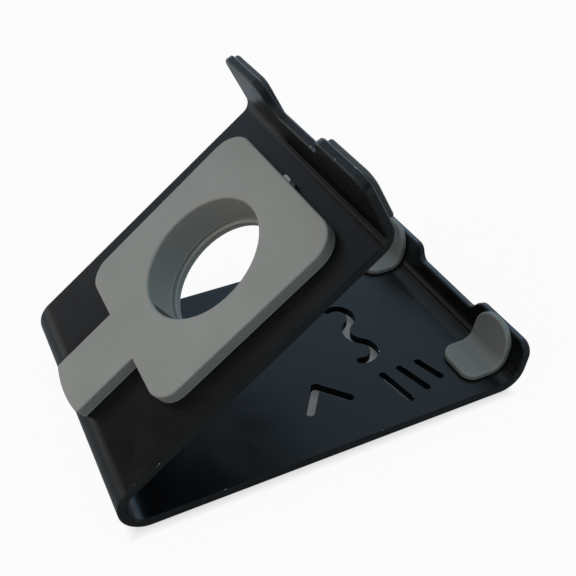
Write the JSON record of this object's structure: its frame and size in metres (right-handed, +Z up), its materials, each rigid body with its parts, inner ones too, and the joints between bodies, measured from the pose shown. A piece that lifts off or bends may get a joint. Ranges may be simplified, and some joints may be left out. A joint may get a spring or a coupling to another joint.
{
  "type": "charging stand",
  "caption": "Desk stand folded from sheet metal: a phone leans on its padded ears and a watch puck sits in a moulded silicone holder on its sloping back.",
  "frame": {"origin": "on the surface the stand rests on, at the middle of its outline", "axes": "+X from the fold at the back to the front lip, +Y to the phone user's left seen from the rear panel, +Z up"},
  "size_m": [0.0975, 0.0622, 0.0671],
  "materials": {
    "coated_steel": "black powder coat, semi-matt",
    "grey_silicone": "matt"
  },
  "bodies": {
    "root": {"bent_stand": "coated_steel", "watch_pad": "grey_silicone", "ear_pad_left": "grey_silicone", "ear_pad_right": "grey_silicone", "corner_pad_left": "grey_silicone", "corner_pad_right": "grey_silicone", "front_foot_left": "grey_silicone", "front_foot_right": "grey_silicone", "back_foot_left": "grey_silicone", "back_foot_right": "grey_silicone"}
  },
  "joints": []
}
